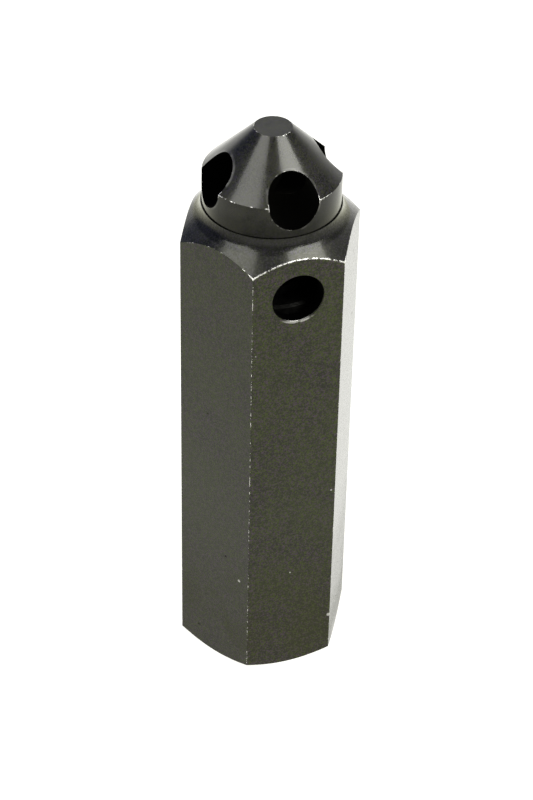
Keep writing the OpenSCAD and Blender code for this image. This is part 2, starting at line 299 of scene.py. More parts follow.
# %% Bench
BENCH_SIZE = 4.0
BENCH_COLOUR = (0.17, 0.17, 0.168, 1.0)
BENCH_LIGHT = (1.0, 0.995, 0.93, 1.0)
BENCH_GLOW = 0.98
BENCH_GAP = 0.02 * MM
deselect_all()
bpy.ops.mesh.primitive_plane_add(size=BENCH_SIZE, location=(0, 0, -BENCH_GAP))
bench = bpy.context.object
bench.name = "bench_top"
bench_material, bench_tree = new_finish("pale_light_table")[:2]
paint(bench_tree, {"Base Color": BENCH_COLOUR, "Roughness": 0.9, "Specular IOR Level": 0.1})
paint(bench_tree, {"Emission Color": BENCH_LIGHT, "Emission Strength": BENCH_GLOW})
bench.data.materials.append(bench_material)
print("bench:", tuple(round(value, 2) for value in bench.dimensions))

# %% Soft panels
PANEL_AIM = Vector((0, 0, 50)) * MM


def direction(azimuth, elevation):
    """The turn and the unit vector towards a place in the room. Azimuth 0 is towards -Y and 90 towards +X."""
    turn = Matrix.Rotation(math.radians(azimuth), 4, "Z") @ Matrix.Rotation(math.radians(90 - elevation), 4, "X")
    return turn, turn.to_3x3() @ Vector((0, 0, 1))


def soft_panel(name, azimuth, elevation, distance, width, height, radiance):
    """A soft box in the given direction, facing the head of the tool."""
    data = bpy.data.lights.new(name, "AREA")
    data.shape = "RECTANGLE"
    data.size = width
    data.size_y = height
    data.energy = radiance * math.pi * width * height
    lamp = bpy.data.objects.new(name, data)
    bpy.context.scene.collection.objects.link(lamp)
    turn, away = direction(azimuth, elevation)
    lamp.matrix_world = Matrix.Translation(PANEL_AIM + away * distance) @ turn
    print(name, [round(value, 3) for value in lamp.location], "watts", round(data.energy, 2))


soft_panel("right_panel", azimuth=40, elevation=46, distance=0.70, width=0.44, height=0.42, radiance=15.0)
soft_panel("left_panel", azimuth=-73, elevation=46, distance=0.70, width=0.42, height=0.42, radiance=8.0)
soft_panel("back_panel", azimuth=165, elevation=38, distance=0.90, width=1.00, height=0.50, radiance=0.70)

# %% [markdown]
# Beyond the panels the room is dim overhead, bright towards the horizon, and a little blue in one corner. The
# metal mirrors all of that. A ray that comes straight from the camera is told apart and sees plain white.

# %% The room beyond the panels
ROOM_DARK = (0.22, 0.23, 0.25, 1.0)
ROOM_HORIZON = (1.30, 1.30, 1.28, 1.0)
ROOM_CORNER = (0.05, 0.08, 0.27, 1.0)
BACKDROP = (1.0, 1.0, 1.0, 1.0)
HORIZON_FADE = 0.42
CORNER_AZIMUTH = -121
CORNER_ELEVATION = 30
CORNER_NEAR = 0.93
CORNER_FAR = 0.70

world = bpy.data.worlds.new("quiet_room")
bpy.context.scene.world = world
world.use_nodes = True
sky = world.node_tree
sky_way = sky.nodes.new("ShaderNodeTexCoord").outputs["Generated"]
sky_fade = remap(sky, split(sky, sky_way)[2], 0.0, HORIZON_FADE)
sky_colour = mix_colour(sky, sky_fade, ROOM_HORIZON, ROOM_DARK)
corner_dot = vector_math(sky, "DOT_PRODUCT", sky_way, direction(CORNER_AZIMUTH, CORNER_ELEVATION)[1], "Value")
corner_fade = remap(sky, corner_dot, CORNER_FAR, CORNER_NEAR)
sky_colour = mix_colour(sky, corner_fade, sky_colour, ROOM_CORNER)
seen_by_camera = sky.nodes.new("ShaderNodeLightPath").outputs["Is Camera Ray"]
sky_colour = mix_colour(sky, seen_by_camera, sky_colour, BACKDROP)
sky.links.new(sky_colour, sky.nodes["Background"].inputs["Color"])
bpy.context.scene.view_settings.view_transform = "Standard"
print("room nodes:", len(sky.nodes))

# %% [markdown]
# ## Effects that several finishes share
# Each shared effect is a node group, made once and placed in every material that needs it. A group is like a
# function: it has named inputs and outputs, and it only works out masks. The Principled BSDF stays in each
# material.
#
# ### Edge wear
# Handling rubs the black oxide off sharp edges first. The Bevel node gives the normal that a slightly rounded
# edge would have, and where that differs from the real face's normal there is an edge. A noise breaks the line
# into the nicks and gaps of real wear, and the amount can be driven by another mask, so that one edge can be
# bright and another nearly whole.

# %% Edge wear group
BEVEL_SAMPLES = 6

edge_wear, wear_in, wear_out = new_group(
    "edge_wear",
    {
        "Vector": ("Vector", None),
        "Radius": ("Float", 0.00012),
        "Amount": ("Float", 0.5),
        "Breakup Scale": ("Float", 1500.0),
    },
    {"Mask": "Float"},
)
wear_bevel = edge_wear.nodes.new("ShaderNodeBevel")
wear_bevel.samples = BEVEL_SAMPLES
rounded = fill(edge_wear, wear_bevel, {"Radius": wear_in["Radius"]}, "Normal")
facing = edge_wear.nodes.new("ShaderNodeNewGeometry").outputs["Normal"]
agreement = vector_math(edge_wear, "DOT_PRODUCT", rounded, facing, "Value")
wear_bend = math_node(edge_wear, "SUBTRACT", 1.0, agreement)
wear_edge = remap(edge_wear, wear_bend, 0.004, 0.045)
wear_grain = noise(edge_wear, wear_in["Vector"], wear_in["Breakup Scale"], 3.0, 0.6)
wear_floor = math_node(edge_wear, "SUBTRACT", 0.78, times(edge_wear, wear_in["Amount"], 0.62))
wear_gate = remap(edge_wear, wear_grain, wear_floor, plus(edge_wear, wear_floor, 0.10))
give(edge_wear, wear_out, {"Mask": math_node(edge_wear, "MULTIPLY", wear_edge, wear_gate, clamp=True)})
print("edge wear nodes:", len(edge_wear.nodes))

# %% [markdown]
# ### Mottled oxide
# Black oxide over bar stock is never one colour. There is a fine grain a quarter of a millimetre across, some of
# it olive and some of it slate, a slow cloudiness where the oil has dried unevenly, a few pale specks where the
# scale has flaked, and small dark pits. Noises at several scales give those, with a height for a Bump node.

# %% Mottle group
HUE_OFFSET = (0.37, 0.11, 0.23)
HUE_SCALE = 3600.0
FLAKE_SCALE = 800.0

mottle, mottle_in, mottle_out = new_group(
    "oxide_mottle",
    {"Vector": ("Vector", None), "Grain Scale": ("Float", 4600.0), "Cloud Scale": ("Float", 140.0)},
    {"Grain": "Float", "Hue": "Float", "Cloud": "Float", "Specks": "Float", "Pits": "Float", "Height": "Float"},
)
place = mottle_in["Vector"]
fine_value = noise(mottle, place, mottle_in["Grain Scale"], 2.0, 0.6)
coarse_value = noise(mottle, place, times(mottle, mottle_in["Grain Scale"], 0.42), 2.0, 0.6)
grain_value = mix_value(mottle, 0.30, fine_value, coarse_value)
hue_value = noise(mottle, vector_math(mottle, "ADD", place, HUE_OFFSET), HUE_SCALE, 2.0, 0.6)
cloud_value = noise(mottle, place, mottle_in["Cloud Scale"], 4.0, 0.55, 0.3)
flakes = mottle.nodes.new("ShaderNodeTexVoronoi")
flake_colour = fill(mottle, flakes, {"Vector": place, "Scale": FLAKE_SCALE}, "Color")
flake_choice = mottle.nodes.new("ShaderNodeSeparateColor")
mottle.links.new(flake_colour, flake_choice.inputs["Color"])
speck_chosen = remap(mottle, flake_choice.outputs["Red"], 0.988, 0.992)
pit_chosen = remap(mottle, flake_choice.outputs["Green"], 0.960, 0.966)
give(mottle, mottle_out, {
    "Grain": remap(mottle, grain_value, 0.38, 0.62),
    "Hue": remap(mottle, hue_value, 0.36, 0.64),
    "Cloud": remap(mottle, cloud_value, 0.36, 0.66),
    "Specks": times(mottle, speck_chosen, fade(mottle, flakes.outputs["Distance"], 0.05, 0.13)),
    "Pits": times(mottle, pit_chosen, fade(mottle, flakes.outputs["Distance"], 0.08, 0.20)),
    "Height": grain_value,
})
print("mottle nodes:", len(mottle.nodes))

# %% [markdown]
# ### Turning marks
# A lathe tool leaves fine rings round the axis. They are too fine to count, but they stretch every highlight
# along the cone. Rings are noise that is read at the radius and height only, with the angle left out, so one
# noise gives rings on a cone, a neck and a flat face alike.

# %% Turning marks group
turning, turning_in, turning_out = new_group(
    "turning_marks", {"Vector": ("Vector", None), "Ring Scale": ("Float", 9000.0)}, {"Rings": "Float"}
)
turning_x, turning_y, turning_z = split(turning, turning_in["Vector"])
turning_radius = distance_2d(turning, turning_x, turning_y)
turning_join = turning.nodes.new("ShaderNodeCombineXYZ")
ring_place = fill(turning, turning_join, {"X": turning_radius, "Z": turning_z}, "Vector")
give(turning, turning_out, {"Rings": noise(turning, ring_place, turning_in["Ring Scale"], 2.0, 0.5)})
print("turning nodes:", len(turning.nodes))

# %% [markdown]
# ### Scratches and oil
# Ground and drawn parts carry fine straight scratches, all one way. They are one noise read through a vector
# that has been squeezed along the grain. Oil from the springs creeps over everything inside the barrel, so a
# second group gives a soft-edged stain with a sharper tide mark round it.

# %% Scratch and oil groups
scratches, scratches_in, scratches_out = new_group(
    "straight_scratches", {"Vector": ("Vector", None), "Stretch": ("Vector", None)}, {"Lines": "Float"}
)
squeezed = vector_math(scratches, "MULTIPLY", scratches_in["Vector"], scratches_in["Stretch"])
give(scratches, scratches_out, {"Lines": noise(scratches, squeezed, 1.0, 3.0, 0.7)})

oil_stain, stain_in, stain_out = new_group(
    "oil_stain",
    {"Vector": ("Vector", None), "Scale": ("Float", 260.0), "Amount": ("Float", 0.5)},
    {"Mask": "Float", "Tide": "Float"},
)
stain_value = noise(oil_stain, stain_in["Vector"], stain_in["Scale"], 4.0, 0.55, 0.6)
stain_floor = math_node(oil_stain, "SUBTRACT", 0.72, times(oil_stain, stain_in["Amount"], 0.42))
stain_mask = remap(oil_stain, stain_value, stain_floor, plus(oil_stain, stain_floor, 0.09))
stain_edge = times(oil_stain, stain_mask, math_node(oil_stain, "SUBTRACT", 1.0, stain_mask))
tide_mask = math_node(oil_stain, "MULTIPLY", stain_edge, 4.0, clamp=True)
give(oil_stain, stain_out, {"Mask": stain_mask, "Tide": tide_mask})
print("scratch nodes:", len(scratches.nodes), "oil nodes:", len(oil_stain.nodes))

# %% [markdown]
# ## The barrel
# The barrel is drawn hexagonal bar, turned only at its two ends. Its flats keep the bar's matt, olive-grey
# oxide, and the turned shoulder is smoother and darker. One material does both: the shading normal tells a flat
# (no upward part) from a turned slope. Oxide under oil behaves like a very dark, slightly glossy paint: almost
# no colour of its own and a small reflection that grows at a grazing view, which is why the far flat goes pale.
# So it is a dielectric here, not a metal, with a thin clear coat for the oil, and only worn edges are bare metal.

# %% Masks that find the barrel's own features
BARREL_FLAT_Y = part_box("barrel")[0][1]
BARREL_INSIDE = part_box("barrel")[1][1]
BORE_WALL_RADIUS = 8.05 * MM
BORE_DARK_FROM = 13.0 * MM
BORE_DARK_TO = 63.6 * MM
SIDE_PORT_RADIUS = 3.1 * MM
SIDE_PORT_HEIGHT = 56.65 * MM
SHOULDER_START = 60.2 * MM
CORNER_X = 5.48 * MM
PORT_EDGE = SIDE_PORT_RADIUS + 0.01 * MM
RIM_OUTSIDE = SIDE_PORT_RADIUS + 0.34 * MM
RIM_INSIDE = SIDE_PORT_RADIUS + 0.24 * MM
RIM_TOP = SIDE_PORT_HEIGHT - 2.6 * MM

barrel_finish, tree, point = new_finish("oil_blackened_bar")
px, py, pz = split(tree, point)
radius = distance_2d(tree, px, py)
upward = math_node(tree, "ABSOLUTE", split(tree, smooth_normal(tree))[2])
inner_wall = fade(tree, radius, BARREL_INSIDE - 0.10 * MM, BARREL_INSIDE - 0.02 * MM)
turned = greatest(tree, remap(tree, upward, 0.2, 0.4), inner_wall)
# Painted shade: the bore and the front half of the side port are painted near-black, as black metal with no coat.
in_bore = times(
    tree,
    fade(tree, radius, BORE_WALL_RADIUS, BORE_WALL_RADIUS + 0.03 * MM),
    remap(tree, pz, BORE_DARK_FROM, BORE_DARK_FROM + 1.0 * MM),
    fade(tree, pz, BORE_DARK_TO - 0.5 * MM, BORE_DARK_TO),
)
port_distance = distance_2d(tree, px, pz, 0.0, SIDE_PORT_HEIGHT)
front_half = math_node(tree, "LESS_THAN", py, 0.0)
in_port = times(tree, fade(tree, port_distance, PORT_EDGE, PORT_EDGE + 0.04 * MM), front_half)
hidden = greatest(tree, in_bore, in_port)

near_front = fade(tree, py, BARREL_FLAT_Y + 0.15 * MM, BARREL_FLAT_Y + 0.9 * MM)
near_shoulder = remap(tree, pz, SHOULDER_START, SHOULDER_START + 0.2 * MM)
front_arc = times(tree, near_front, near_shoulder)
arc_end = remap(tree, math_node(tree, "ABSOLUTE", px), CORNER_X - 0.75 * MM, CORNER_X - 0.35 * MM)
near_rim = remap(tree, port_distance, RIM_OUTSIDE, RIM_INSIDE)
port_rim = times(tree, front_half, near_rim, fade(tree, pz, RIM_TOP - 0.5 * MM, RIM_TOP))
around_port = fade(tree, port_distance, SIDE_PORT_RADIUS + 0.5 * MM, SIDE_PORT_RADIUS + 0.7 * MM)
port_mouth = times(tree, front_half, around_port)
front_edge = fade(tree, distance_2d(tree, px, py, -CORNER_X, BARREL_FLAT_Y), 0.2 * MM, 0.6 * MM)
print("barrel masks ready, nodes:", len(tree.nodes))

# %% [markdown]
# The wear on the bar is uneven. The edge between the port's flat and the shoulder is rubbed bright, most of all
# at its two ends, the long front edge has only scattered nicks, and there is a ding beside it where the tool has
# been dropped. The lower rim of the port's countersink is painted bare and bright, a painted highlight where that
# rim faces up and mirrors the room. Painted shade darkens the flats towards the foot and the lip at the mouth,
# and paints the bore and the side port near-black.

# %% Barrel finish
OXIDE_TINT = (1.0, 1.0, 0.74, 1.0)
FLAT_DARK = (0.0040, 0.0045, 0.0025, 1.0)
FLAT_OLIVE = (0.0190, 0.0265, 0.0020, 1.0)
FLAT_SLATE = (0.0265, 0.0165, 0.0260, 1.0)
# Painted shade: the brown that darkens the flats towards the foot.
LOW_SHADE_COLOUR = (0.0300, 0.0240, 0.0140, 1.0)
TURNED_DARK = (0.0040, 0.0045, 0.0035, 1.0)
TURNED_PALE = (0.0180, 0.0180, 0.0150, 1.0)
# Painted shade: near-black for the inside of the bore, the side port and the drillings.
SHADE_BLACK = (0.0006, 0.0006, 0.0006, 1.0)
BARE_STEEL = (0.74, 0.73, 0.68, 1.0)
TURNED_OLIVE = (0.016, 0.018, 0.009, 1.0)
TURNED_SLATE = (0.017, 0.013, 0.024, 1.0)
OIL_FILM = {"Coat Roughness": 0.12, "Coat IOR": 1.20, "IOR": 1.5, "Sheen Roughness": 0.35}
DING_PLACE = Vector((-6.22, -8.23, 14.36)) * MM
NICK_PLACE = Vector((5.35, -9.5, 6.5)) * MM
WEAR_ALL_OVER = 0.36
WEAR_FRONT_ARC = 0.20
WEAR_FRONT_EDGE = 0.08
WEAR_LESS_AT_PORT = 0.5
RIM_SHARE = 0.26
DING_SHARE = 0.35
CLOUD_SHARE = 0.22
# Painted shade towards the foot: how much colour it takes and how much of the coat it removes.
LOW_SHADE_SHARE = 0.12
LOW_SHADE_DULLS_COAT = 0.95
TURNED_GRAIN_SHARE = 0.55
# Painted shade: how much the lip at the barrel's mouth is darkened.
LIP_SHADE = 0.60

mottling = place_group(tree, mottle, Vector=point)
grain, hue, cloud = mottling["Grain"], mottling["Hue"], mottling["Cloud"]
rings = place_group(tree, turning, Vector=point)["Rings"]
wear_amount = plus(
    tree,
    WEAR_ALL_OVER,
    times(tree, front_arc, WEAR_FRONT_ARC),
    times(tree, front_edge, WEAR_FRONT_EDGE),
    times(tree, front_arc, arc_end),
)
wear_amount = math_node(tree, "SUBTRACT", wear_amount, times(tree, port_mouth, WEAR_LESS_AT_PORT))
wear_radius = plus(tree, 0.10 * MM, times(tree, front_arc, 0.15 * MM))
wear = place_group(tree, edge_wear, Vector=point, Amount=wear_amount, Radius=wear_radius, Breakup_Scale=1900.0)

# Painted highlight: bare metal kept only at the lower rim of the port's countersink, where it faces up and
# mirrors the room.
rim_grain = remap(tree, noise(tree, point, 1400.0, 2.0, 0.6), 0.36, 0.52)
rim_highlight = times(tree, port_rim, rim_grain, RIM_SHARE)
dings = greatest(tree, spot(tree, point, DING_PLACE, 0.24 * MM), spot(tree, point, NICK_PLACE, 0.30 * MM))
dings = times(tree, greatest(tree, dings, mottling["Specks"]), DING_SHARE)
bare = greatest(tree, wear["Mask"], rim_highlight, dings)
lip = fade(tree, radius, BARREL_INSIDE - 0.6 * MM, BARREL_INSIDE - 0.4 * MM)
front_lip = times(tree, lip, math_node(tree, "GREATER_THAN", pz, SHOULDER_START))
bare = times(tree, bare, inverse(tree, hidden), inverse(tree, front_lip))

flat_grain = mix_colour(tree, remap(tree, hue, 0.25, 0.75), FLAT_OLIVE, FLAT_SLATE)
flat_colour = mix_colour(tree, grain, FLAT_DARK, flat_grain)
flat_colour = mix_colour(tree, times(tree, cloud, CLOUD_SHARE), flat_colour, FLAT_OLIVE)
# Painted shade: the flats darken towards the foot, in colour and in a thinner coat, for the darker bench they
# mirror there.
painted_low_shade = times(tree, fade(tree, pz, 3.0 * MM, 26.0 * MM), remap(tree, cloud, 0.0, 1.0, 0.6, 1.0))
flat_colour = mix_colour(tree, times(tree, painted_low_shade, LOW_SHADE_SHARE), flat_colour, LOW_SHADE_COLOUR)
turned_colour = mix_colour(tree, cloud, TURNED_DARK, TURNED_PALE)
turned_grain = mix_colour(tree, hue, TURNED_OLIVE, TURNED_SLATE)
turned_colour = mix_colour(tree, times(tree, grain, TURNED_GRAIN_SHARE), turned_colour, turned_grain)
oxide = mix_colour(tree, turned, flat_colour, turned_colour)
oxide = mix_colour(tree, hidden, oxide, SHADE_BLACK)
# Painted shade: the lip at the barrel's mouth is darkened through black metal, for the shade in the corner at the
# neck.
painted_corner_shade = times(tree, front_lip, inverse(tree, bare), LIP_SHADE)

turned_rough = remap(tree, rings, 0.3, 0.7, 0.23, 0.27)
turned_rough = mix_value(tree, 0.5, turned_rough, remap(tree, grain, 0.0, 1.0, 0.16, 0.32))
rough = mix_value(tree, turned, remap(tree, grain, 0.0, 1.0, 0.20, 0.30), turned_rough)
rough = mix_value(tree, mottling["Pits"], rough, 0.8)
rough = mix_value(tree, bare, rough, 0.42)
film = mix_value(tree, turned, 0.80, remap(tree, grain, 0.0, 1.0, 0.50, 1.0))
film = times(tree, film, inverse(tree, hidden), inverse(tree, mottling["Pits"]), inverse(tree, bare))
paint(tree, OIL_FILM)
paint(tree, {
    "Base Color": mix_colour(tree, bare, oxide, BARE_STEEL),
    "Metallic": greatest(tree, bare, hidden, painted_corner_shade),
    "Roughness": mix_value(tree, hidden, rough, 0.9),
    "Coat Weight": times(tree, film, inverse(tree, times(tree, painted_low_shade, LOW_SHADE_DULLS_COAT))),
    "Specular IOR Level": 0.14,
    "Specular Tint": OXIDE_TINT,
    "Sheen Weight": 0.006,
    "Normal": bump(tree, mottling["Height"], 0.35, 0.020 * MM),
})
finish_node("barrel", barrel_finish)
print("barrel finish nodes:", len(tree.nodes))

# %% [markdown]
# ## The head
# The head is turned all over, so it is smoother than the bar and its cone mirrors the room in long streaks.
# The drillings break through it after blackening, and their mouths were broken with a countersink, which left a
# thin paler rim. Inside, the drillings are painted near-black, a painted shade for the deep holes, and the neck
# is painted darker towards the barrel, a painted shade for the corner where the neck meets it.

# %% Head finish
DRILL_HEIGHT = 68.0 * MM
DRILL_RADIUS = 2.95 * MM
HEAD_SEAT = 64.2 * MM
HEAD_DARK = (0.0025, 0.0030, 0.0016, 1.0)
HEAD_PALE = (0.0120, 0.0122, 0.0080, 1.0)
HEAD_OLIVE = (0.018, 0.019, 0.009, 1.0)
HEAD_SLATE = (0.015, 0.012, 0.020, 1.0)
HEAD_TINT = (1.0, 1.0, 0.86, 1.0)
HEAD_WEAR = 0.40
JUNCTION_WEAR = 0.6
DRILL_RIM_SHARE = 0.07
# Painted shade: how far up the neck the darkening reaches.
NECK_SHADE_HEIGHT = 3.2 * MM

head_finish, tree, point = new_finish("oil_blackened_turning")
px, py, pz = split(tree, point)
along_x = distance_2d(tree, py, pz, 0.0, DRILL_HEIGHT)
along_y = distance_2d(tree, px, pz, 0.0, DRILL_HEIGHT)
drill_distance = math_node(tree, "MINIMUM", along_x, along_y)
# Painted shade: the inside of the drillings is painted near-black, as black metal with no coat.
in_drill = fade(tree, drill_distance, DRILL_RADIUS + 0.01 * MM, DRILL_RADIUS + 0.03 * MM)
drill_rim = times(
    tree,
    remap(tree, drill_distance, DRILL_RADIUS + 0.30 * MM, DRILL_RADIUS + 0.12 * MM),
    inverse(tree, in_drill),
    remap(tree, noise(tree, point, 420.0, 2.0, 0.5), 0.38, 0.60),
)
mottling = place_group(tree, mottle, Vector=point, Grain_Scale=5200.0, Cloud_Scale=260.0)
rings = place_group(tree, turning, Vector=point, Ring_Scale=14000.0)["Rings"]
above_mouth = math_node(tree, "GREATER_THAN", pz, HEAD_SEAT)
beside_drill = fade(tree, drill_distance, DRILL_RADIUS + 0.35 * MM, DRILL_RADIUS + 0.50 * MM)
off_neck_edge = math_node(tree, "ABSOLUTE", math_node(tree, "SUBTRACT", pz, DRILL_HEIGHT))
junction = times(tree, beside_drill, fade(tree, off_neck_edge, 0.30 * MM, 0.45 * MM))
wear_amount = plus(tree, HEAD_WEAR, times(tree, junction, JUNCTION_WEAR))
wear = place_group(tree, edge_wear, Vector=point, Amount=wear_amount, Radius=0.00014, Breakup_Scale=1300.0)
quiet_rim = times(tree, beside_drill, inverse(tree, junction), 0.7)
bare = times(tree, wear["Mask"], inverse(tree, in_drill), above_mouth, inverse(tree, quiet_rim))
bare = greatest(tree, bare, times(tree, drill_rim, DRILL_RIM_SHARE))
on_neck = fade(tree, pz, DRILL_HEIGHT - 0.1 * MM, DRILL_HEIGHT + 0.1 * MM)
oxide = mix_colour(tree, mottling["Cloud"], HEAD_DARK, HEAD_PALE)
head_grain = mix_colour(tree, mottling["Hue"], HEAD_OLIVE, HEAD_SLATE)
grain_share = mix_value(tree, on_neck, 0.80, 0.45)
oxide = mix_colour(tree, times(tree, mottling["Grain"], grain_share), oxide, head_grain)
oxide = mix_colour(tree, in_drill, oxide, SHADE_BLACK)
# Painted shade: the neck darkens towards the barrel's mouth through black metal, for the shade in that corner.
painted_corner_shade = times(tree, on_neck, remap(tree, pz, HEAD_SEAT, HEAD_SEAT + NECK_SHADE_HEIGHT, 0.80, 0.15))
painted_corner_shade = times(tree, painted_corner_shade, inverse(tree, bare))
head_rough = mix_value(tree, bare, remap(tree, rings, 0.3, 0.7, 0.225, 0.245), 0.40)
film = mix_value(tree, on_neck, 0.8, 0.45)
paint(tree, OIL_FILM)
paint(tree, {
    "Base Color": mix_colour(tree, bare, oxide, BARE_STEEL),
    "Metallic": greatest(tree, bare, in_drill, painted_corner_shade),
    "Roughness": mix_value(tree, in_drill, head_rough, 0.9),
    "Coat Weight": times(tree, inverse(tree, in_drill), inverse(tree, bare), film),
    "Specular IOR Level": 0.165,
    "Specular Tint": HEAD_TINT,
    "Sheen Weight": 0.004,
    "Normal": bump(tree, mottling["Height"], 0.40, 0.016 * MM),
})
finish_node("punch_head", head_finish)
print("head finish nodes:", len(tree.nodes))

# %% [markdown]
# ## Machined metal for the parts inside
# The spindle, hammer, release block, spring seat and bush are all bare metal that was turned or ground and then
# left in oil. They share one recipe: rings or scratches for roughness and bump, polished edges, and an oil stain
# with a tide mark. A function builds the recipe and each part gives its own colours, ring pitch and stain.

# %% Machined metal recipe
def machined_metal(name, metal, stain, ring_scale, rough, stain_amount, stretch=None):
    """Turned bare metal, or ground if stretch is given. Returns the material, tree, point and colour so far."""
    material, tree, point = new_finish(name)
    if stretch is None:
        lines = place_group(tree, turning, Vector=point, Ring_Scale=ring_scale)["Rings"]
    else:
        lines = place_group(tree, scratches, Vector=point, Stretch=stretch)["Lines"]
    oil = place_group(tree, oil_stain, Vector=point, Amount=stain_amount)
    wear = place_group(tree, edge_wear, Vector=point, Amount=0.9, Radius=0.00014)
    tone = mix_colour(tree, remap(tree, lines, 0.3, 0.7), rgba(metal, 0.80), rgba(metal))
    cloud = noise(tree, point, 190.0, 4.0, 0.55, 0.4)
    tone = mix_colour(tree, remap(tree, cloud, 0.35, 0.65, 0.0, 0.35), tone, rgba(metal, 0.5))
    tone = mix_colour(tree, times(tree, oil["Mask"], 0.42), tone, rgba(stain))
    tone = mix_colour(tree, times(tree, oil["Tide"], 0.30), tone, rgba(stain, 0.45))
    tone = mix_colour(tree, times(tree, wear["Mask"], 0.6), tone, BARE_STEEL)
    line_rough = remap(tree, lines, 0.3, 0.7, rough - 0.06, rough + 0.08)
    paint(tree, {
        "Base Color": tone,
        "Metallic": 1.0,
        "Roughness": mix_value(tree, oil["Mask"], line_rough, rough * 0.7),
        "Coat Weight": times(tree, oil["Mask"], 0.4),
        "Coat Roughness": 0.08,
        "Normal": bump(tree, lines, 0.35, 0.006 * MM),
    })
    return material, tree, point, tone


print("machined metal recipe ready")

# %% [markdown]
# The hammer and its block are hardened tool steel. The hammer's front face has been beaten slightly dull where it
# meets the anvil, and both ends keep the straw colour of tempering. The block is ground flat lengthwise.

# %% Hammer and release block
HAMMER_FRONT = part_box("hammer")[1][2]
HAMMER_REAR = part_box("hammer")[0][2]

STRAW_COLOUR = (0.42, 0.32, 0.18, 1.0)
BEATEN_COLOUR = (0.30, 0.29, 0.28, 1.0)
DENT_SCALE = 1300.0

hammer_finish, tree, point, tone = machined_metal(
    "tempered_hammer_steel", (0.44, 0.435, 0.42), (0.17, 0.15, 0.12), 9000.0, 0.30, 0.35
)
pz = split(tree, point)[2]
straw = greatest(
    tree,
    remap(tree, pz, HAMMER_FRONT - 3.5 * MM, HAMMER_FRONT - 0.5 * MM, 0.0, 0.55),
    remap(tree, pz, HAMMER_REAR + 0.5 * MM, HAMMER_REAR + 3.0 * MM, 0.45, 0.0),
)
dents = fill(tree, tree.nodes.new("ShaderNodeTexVoronoi"), {"Vector": point, "Scale": DENT_SCALE}, "Distance")
on_face = math_node(tree, "GREATER_THAN", pz, HAMMER_FRONT - 0.02 * MM)
beaten = times(tree, on_face, remap(tree, dents, 0.1, 0.5, 0.7, 0.0))
tone = mix_colour(tree, straw, tone, STRAW_COLOUR)
paint(tree, {"Base Color": mix_colour(tree, beaten, tone, BEATEN_COLOUR)})
finish_node("hammer", hammer_finish)

block_finish = machined_metal(
    "ground_block_steel", (0.50, 0.49, 0.48), (0.16, 0.14, 0.11), 0.0, 0.26, 0.30, stretch=(300.0, 9000.0, 9000.0)
)[0]
finish_node("release_block", block_finish)
print("hammer and block finished")

# %% [markdown]
# The spindle is ground on its shank. Above the flange, where it is only ever seen through the ports, it is
# painted near-black with a faint mottle, a painted shade for the inside of the ports, and it takes almost no
# light.

# %% Spindle
SPINDLE_BLACK_FROM = 52.0 * MM

# Painted shade: near-black tones for the spindle above the flange, seen only through the ports.
SHADE_DARK = (0.002, 0.002, 0.002, 1.0)
SHADE_PALE = (0.010, 0.010, 0.009, 1.0)
SHADE_GRAIN = (0.014, 0.014, 0.012, 1.0)

spindle_finish, tree, point, tone = machined_metal(
    "ground_spindle_steel", (0.50, 0.50, 0.49), (0.16, 0.14, 0.11), 11000.0, 0.22, 0.40
)
# Painted shade: the spindle above the flange is painted near-black for the shade inside the ports.
port_shade = remap(tree, split(tree, point)[2], SPINDLE_BLACK_FROM, SPINDLE_BLACK_FROM + 0.6 * MM)
shade_mottling = place_group(tree, mottle, Vector=point, Cloud_Scale=420.0)
shade_tone = mix_colour(tree, shade_mottling["Cloud"], SHADE_DARK, SHADE_PALE)
shade_tone = mix_colour(tree, times(tree, shade_mottling["Grain"], 0.5), shade_tone, SHADE_GRAIN)
paint(tree, {
    "Base Color": mix_colour(tree, port_shade, tone, shade_tone),
    "Coat Weight": times(tree, inverse(tree, port_shade), 0.15),
    "Roughness": mix_value(tree, port_shade, 0.22, remap(tree, shade_mottling["Grain"], 0.0, 1.0, 0.55, 0.85)),
})
finish_node("spindle", spindle_finish)
print("spindle finished")

# %% [markdown]
# The spring seat is a turned washer that the adjuster pushes on, and the guide bush is bearing bronze, which goes
# brown where the oil sits and stays yellow where the spindle rubs.

# %% Spring seat and guide bush
seat_finish = machined_metal("turned_seat_steel", (0.44, 0.44, 0.43), (0.17, 0.155, 0.13), 7000.0, 0.36, 0.45)[0]
finish_node("spring_seat", seat_finish)
bush_finish = machined_metal("bearing_bronze", (0.60, 0.40, 0.17), (0.24, 0.14, 0.06), 6000.0, 0.33, 0.50)[0]
finish_node("guide_bush", bush_finish)
print("seat and bush finished")

# %% [markdown]
# ## The adjuster plug
# The plug screws up the rear bore under a black-oxide finish like the head's. Its thread is not cut in the
# geometry, so a ring-shaped bump at the thread's pitch stands for it on the side wall only. The socket's corners
# are rubbed bright by the key.

# %% Adjuster plug
PLUG_RADIUS = 7.95 * MM
THREAD_PITCH = 1.0 * MM
SOCKET_REACH = 5.1 * MM
SOCKET_DEPTH = 4.0 * MM

